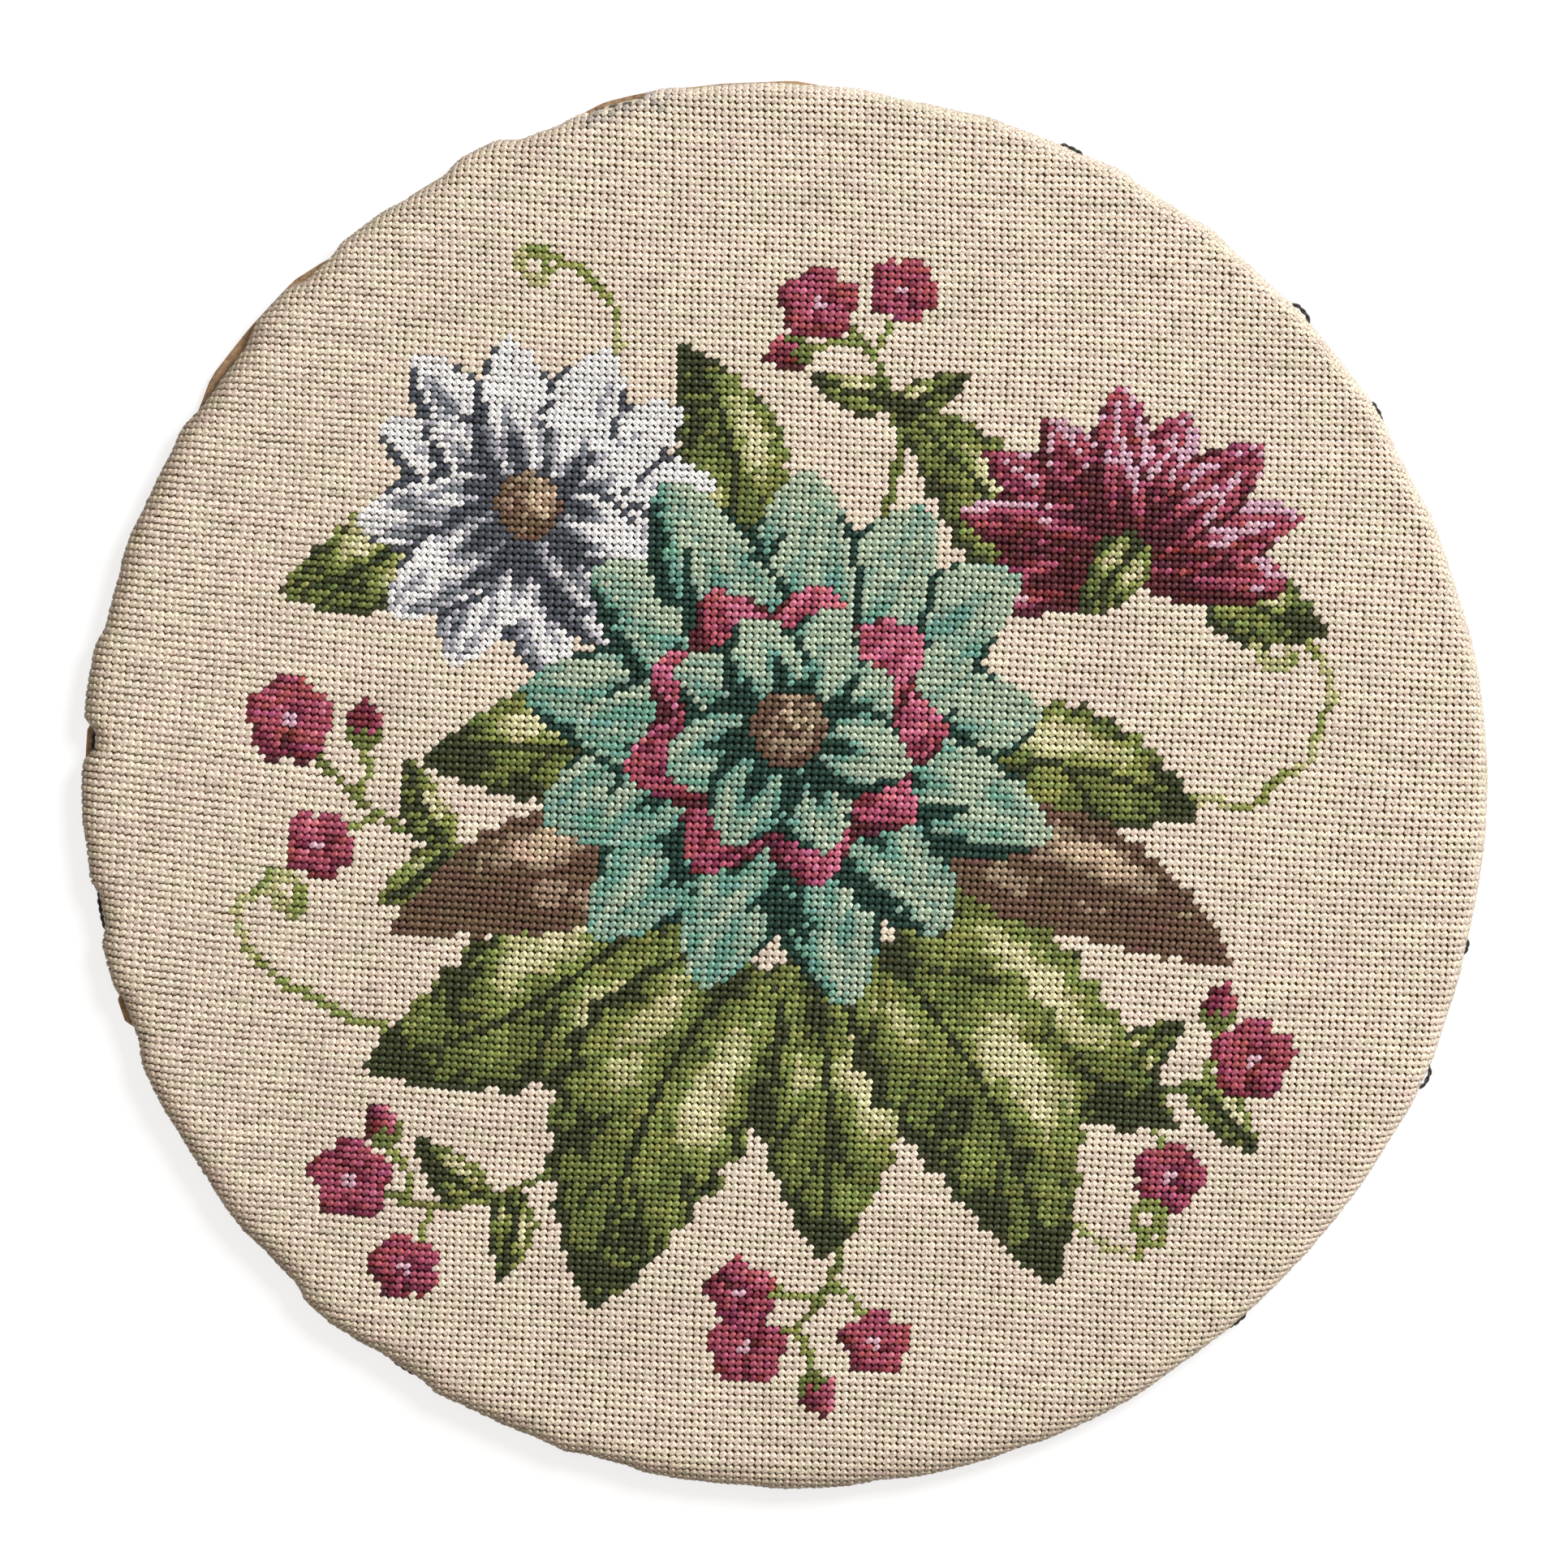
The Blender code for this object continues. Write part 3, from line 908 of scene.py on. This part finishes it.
def work_stitches(name, where, finishes, fineness=1.0):
    """One mesh of all the stitches at these crossings, each in the finish of its yarn.

    fineness is how wide they are, in parts of the cream's width.
    """
    column, row = COLUMNS[where][:, None], ROWS[where][:, None]
    across_panel = column * PITCH / PANEL_RADIUS
    openness = np.clip((across_panel - CLOSED_AT) / (OPEN_AT - CLOSED_AT), 0, 1)
    slant = SLANT_CLOSED + (SLANT_OPEN - SLANT_CLOSED) * openness
    slant = np.radians(slant + SLANT_JITTER[where][:, None])
    full = FULLNESS[where][:, None]
    drawn = STRETCH[where][:, None] * (1 - SHORTER_OPEN * openness)
    spread = full * (1 + WIDER_OPEN * openness) * fineness
    along, across = STITCH[None, :, 0] * drawn, STITCH[None, :, 1] * spread
    right = (along * np.cos(slant) - across * np.sin(slant)) / PITCH + COLUMN_JITTER[where][:, None]
    up = (along * np.sin(slant) + across * np.cos(slant)) / PITCH + ROW_JITTER[where][:, None]
    x, y = on_flat_cut(column + right, row + up)
    lift = STITCH[None, :, 2] * full - STITCH_SUNK + LIFT_JITTER[where][:, None]
    corners = over_the_board(x, y, lift)
    count, each = len(column), len(STITCH)
    mesh = bpy.data.meshes.new(name)
    mesh.vertices.add(count * each)
    mesh.vertices.foreach_set("co", corners.astype(np.float32).ravel())
    sizes = np.array([len(face) for face in STITCH_FACES])
    flat_faces = np.concatenate(STITCH_FACES)
    loops = (flat_faces[None, :] + each * np.arange(count)[:, None]).ravel()
    mesh.loops.add(len(loops))
    mesh.loops.foreach_set("vertex_index", loops.astype(np.int32))
    starts = np.concatenate([[0], np.cumsum(sizes)[:-1]])
    starts = (starts[None, :] + len(flat_faces) * np.arange(count)[:, None]).ravel()
    mesh.polygons.add(len(starts))
    mesh.polygons.foreach_set("loop_start", starts.astype(np.int32))
    used = sorted(set(chart[where].tolist()))
    slots = np.searchsorted(used, chart[where])
    mesh.polygons.foreach_set("material_index", np.repeat(slots, len(sizes)).astype(np.int32))
    mesh.update(calc_edges=True)
    mesh.shade_smooth()
    run = mesh.uv_layers.new(name="yarn_run")
    run.data.foreach_set("uv", np.tile(STITCH_RUN, (count, 1)).astype(np.float32).ravel())
    mood = mesh.attributes.new("stitch_mood", "FLOAT_VECTOR", "POINT")
    moods = np.stack([TONE[where], WARMTH[where], DAMP_STAIN_AND_RIM_SHADE[where]], axis=-1)
    mood.data.foreach_set("vector", np.repeat(moods, each, axis=0).astype(np.float32).ravel())
    for number in used:
        mesh.materials.append(finishes[number])
    piece = bpy.data.objects.new(name, mesh)
    bpy.context.collection.objects.link(piece)
    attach(piece, BODY)
    return piece


def work_all_stitches():
    """The coloured stitches by skein, and the cream ground in four quarters."""
    finishes = [yarn_finish(yarn) for yarn in YARNS]
    skein_of = np.array([yarn.skein for yarn in YARNS])[chart]
    pieces = []
    for skein in ("teal", "grey", "rose", "brown", "green"):
        where = STITCHED & (skein_of == skein)
        pieces.append(work_stitches(skein + "_stitches", where, finishes, COLOURED_FINENESS))
    ground = STITCHED & (skein_of == "ground")
    for name, quarter in (
        ("upper_right", (COLUMNS >= 0) & (ROWS >= 0)),
        ("upper_left", (COLUMNS < 0) & (ROWS >= 0)),
        ("lower_left", (COLUMNS < 0) & (ROWS < 0)),
        ("lower_right", (COLUMNS >= 0) & (ROWS < 0)),
    ):
        pieces.append(work_stitches("cream_stitches_" + name, ground & quarter, finishes))
    return pieces


# The bare canvas below the stitches

CUT_RINGS_TURNED = 9  # rings of faces over the turned part
CUT_RINGS_FLAT = 80  # and over the flat part, close enough for the yarn's colour to follow the chart
CUT_CORNERS = 300
SHARPEST_FOLD = math.radians(40.0)  # steeper edges, such as the cut one, are shaded sharp
CROSSING_STEPS = 12  # steps until the search for a crossing has settled
BARE_THREAD = "#EAE6DF"
BARE_GLOW = 1.9  # a bare thread lies open to the light, so it isn't shaded like the covered ones
BELOW_COLOURED = 0.45  # less light gets down between the coloured yarns,
BELOW_GREYED = 0.6  # and what does has lost this much of its colour


def crossing_below(x, y):
    """The canvas crossing at a place of the flat cut: on_flat_cut the other way round."""
    column, row = x / PITCH, y / PITCH
    for _ in range(CROSSING_STEPS):
        made_x, made_y = on_flat_cut(column, row)
        column, row = column + (x - made_x) / PITCH, row + (y - made_y) / PITCH
    return column, row


def cut_the_canvas():
    """A round cut of canvas, modelled flat and then stretched over the board."""
    cut_radius = PANEL_RADIUS - SHOULDER_RADIUS + TURNED_LENGTH
    deselect_all()
    bpy.ops.mesh.primitive_circle_add(vertices=CUT_CORNERS, radius=cut_radius, fill_type="NGON")
    canvas = bpy.context.object
    canvas.name = canvas.data.name = "canvas_ground"
    bpy.ops.object.mode_set(mode="EDIT")
    bpy.ops.mesh.select_all(action="SELECT")
    turned_step = TURNED_LENGTH / CUT_RINGS_TURNED
    flat_step = (cut_radius - TURNED_LENGTH) / (CUT_RINGS_FLAT + 1)
    for step in [turned_step] * CUT_RINGS_TURNED + [flat_step] * CUT_RINGS_FLAT:
        bpy.ops.mesh.inset(thickness=step, depth=0.0)
    bpy.ops.mesh.poke()
    bpy.ops.object.mode_set(mode="OBJECT")
    flat = np.array([v.co for v in canvas.data.vertices])
    reach, angle = np.hypot(flat[:, 0], flat[:, 1]), np.arctan2(flat[:, 1], flat[:, 0])
    own_edge = radius_at(angle, RIM) - SHOULDER_RADIUS + TURNED_LENGTH
    reach = np.where(reach > cut_radius / 2, own_edge - (cut_radius - reach), reach)
    x, y = reach * np.cos(angle), reach * np.sin(angle)
    column, row = crossing_below(x, y)
    places = over_the_board(x, y, -YARN_RISE)
    for corner, place in zip(canvas.data.vertices, places):
        corner.co = place
    near = HALF_COUNT + np.round(np.stack([row, column])).astype(int)
    near = np.clip(near, 0, 2 * HALF_COUNT)
    # painted shade and bounce light: the canvas under each stitch takes its yarn's colour, darkened and
    # dulled under the coloured yarns
    shaded_yarn_tints = np.array([from_hex(yarn.colour) for yarn in YARNS])
    coloured = np.array([yarn.skein != "ground" for yarn in YARNS])
    greys = shaded_yarn_tints[:, :3].mean(axis=1, keepdims=True)
    dulled = BELOW_GREYED * greys + (1 - BELOW_GREYED) * shaded_yarn_tints[:, :3]
    shaded_yarn_tints[coloured, :3] = BELOW_COLOURED * dulled[coloured]
    shaded_yarn_tints = shaded_yarn_tints[chart[near[0], near[1]]]
    shaded_yarn_tints[BARE[near[0], near[1]]] = BARE_GLOW * np.array(from_hex(BARE_THREAD))
    below = canvas.data.attributes.new("yarn_below", "FLOAT_COLOR", "POINT")
    below.data.foreach_set("color", shaded_yarn_tints.astype(np.float32).ravel())
    threads = canvas.data.uv_layers.active
    threads.name = "threads"
    for loop in canvas.data.loops:
        threads.data[loop.index].uv = (column[loop.vertex_index], row[loop.vertex_index])
    thick = canvas.modifiers.new("canvas_thickness", "SOLIDIFY")
    thick.thickness = CANVAS_THICKNESS
    thick.offset = -1.0
    bpy.ops.object.modifier_apply(modifier=thick.name)
    canvas.data.shade_smooth()
    canvas.data.set_sharp_from_angle(angle=SHARPEST_FOLD)
    canvas.data.materials.clear()
    canvas.data.materials.append(canvas_finish())
    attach(canvas, BODY)
    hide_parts("worked_canvas")
    return canvas, 2 * cut_radius


# The cord under the rim

CORD_RADIUS = 0.6 * MM
CORD_LAY = 4.2 * MM  # one full turn of its two plies
CORD_STEPS_A_TURN = 7
CORD_INSIDE = 172 * MM  # nearer than the cord anywhere, to measure it from inside


def cord_route():
    """The radius of the cord's middle all round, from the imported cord."""
    low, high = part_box("edge_cord")
    height = (low.z + high.z) / 2
    tree = BVHTree.FromObject(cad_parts["edge_cord"], bpy.context.evaluated_depsgraph_get())
    middles = []
    for angle in ROUND:
        outward = Vector((math.cos(angle), math.sin(angle), 0.0))
        up = Vector((0, 0, height))
        outer = tree.ray_cast(outward * OVERHANG + up, -outward)[0]
        inner = tree.ray_cast(outward * CORD_INSIDE + up, outward)[0]
        middles.append((math.hypot(outer.x, outer.y) + math.hypot(inner.x, inner.y)) / 2)
    return np.array(middles), height


def twist_the_cord():
    """Two plies twisted round each other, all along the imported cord's route."""
    middles, height = cord_route()
    turns = round(2 * math.pi * middles.mean() / CORD_LAY)
    steps = turns * CORD_STEPS_A_TURN
    angle = np.arange(steps) * 2 * math.pi / steps
    middle = radius_at(angle, middles)
    curve = bpy.data.curves.new("black_edge_cord", "CURVE")
    curve.dimensions = "3D"
    curve.bevel_depth = CORD_RADIUS / 2
    curve.bevel_resolution = 1
    for ply in (0.0, math.pi):
        twist = angle * turns + ply
        radius = middle + CORD_RADIUS / 2 * np.cos(twist)
        up = height + CORD_RADIUS / 2 * np.sin(twist)
        spline = curve.splines.new("POLY")
        spline.points.add(steps - 1)
        places = np.stack([radius * np.cos(angle), radius * np.sin(angle), up, 1 + 0 * up], axis=-1)
        spline.points.foreach_set("co", places.astype(np.float32).ravel())
        spline.use_cyclic_u = True
        spline.use_smooth = True
    curve.materials.append(cord_finish())
    cord = bpy.data.objects.new("black_edge_cord", curve)
    bpy.context.collection.objects.link(cord)
    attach(cord, BODY)
    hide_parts("edge_cord")
    return cord


def finish_the_board():
    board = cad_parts["round_board"]
    board.data.materials.clear()
    board.data.materials.append(board_finish())


stand_the_camera()
lay_the_floor()
hang_the_lamps()
finish_the_board()
stitches = work_all_stitches()
canvas, cut_width = cut_the_canvas()
twist_the_cord()
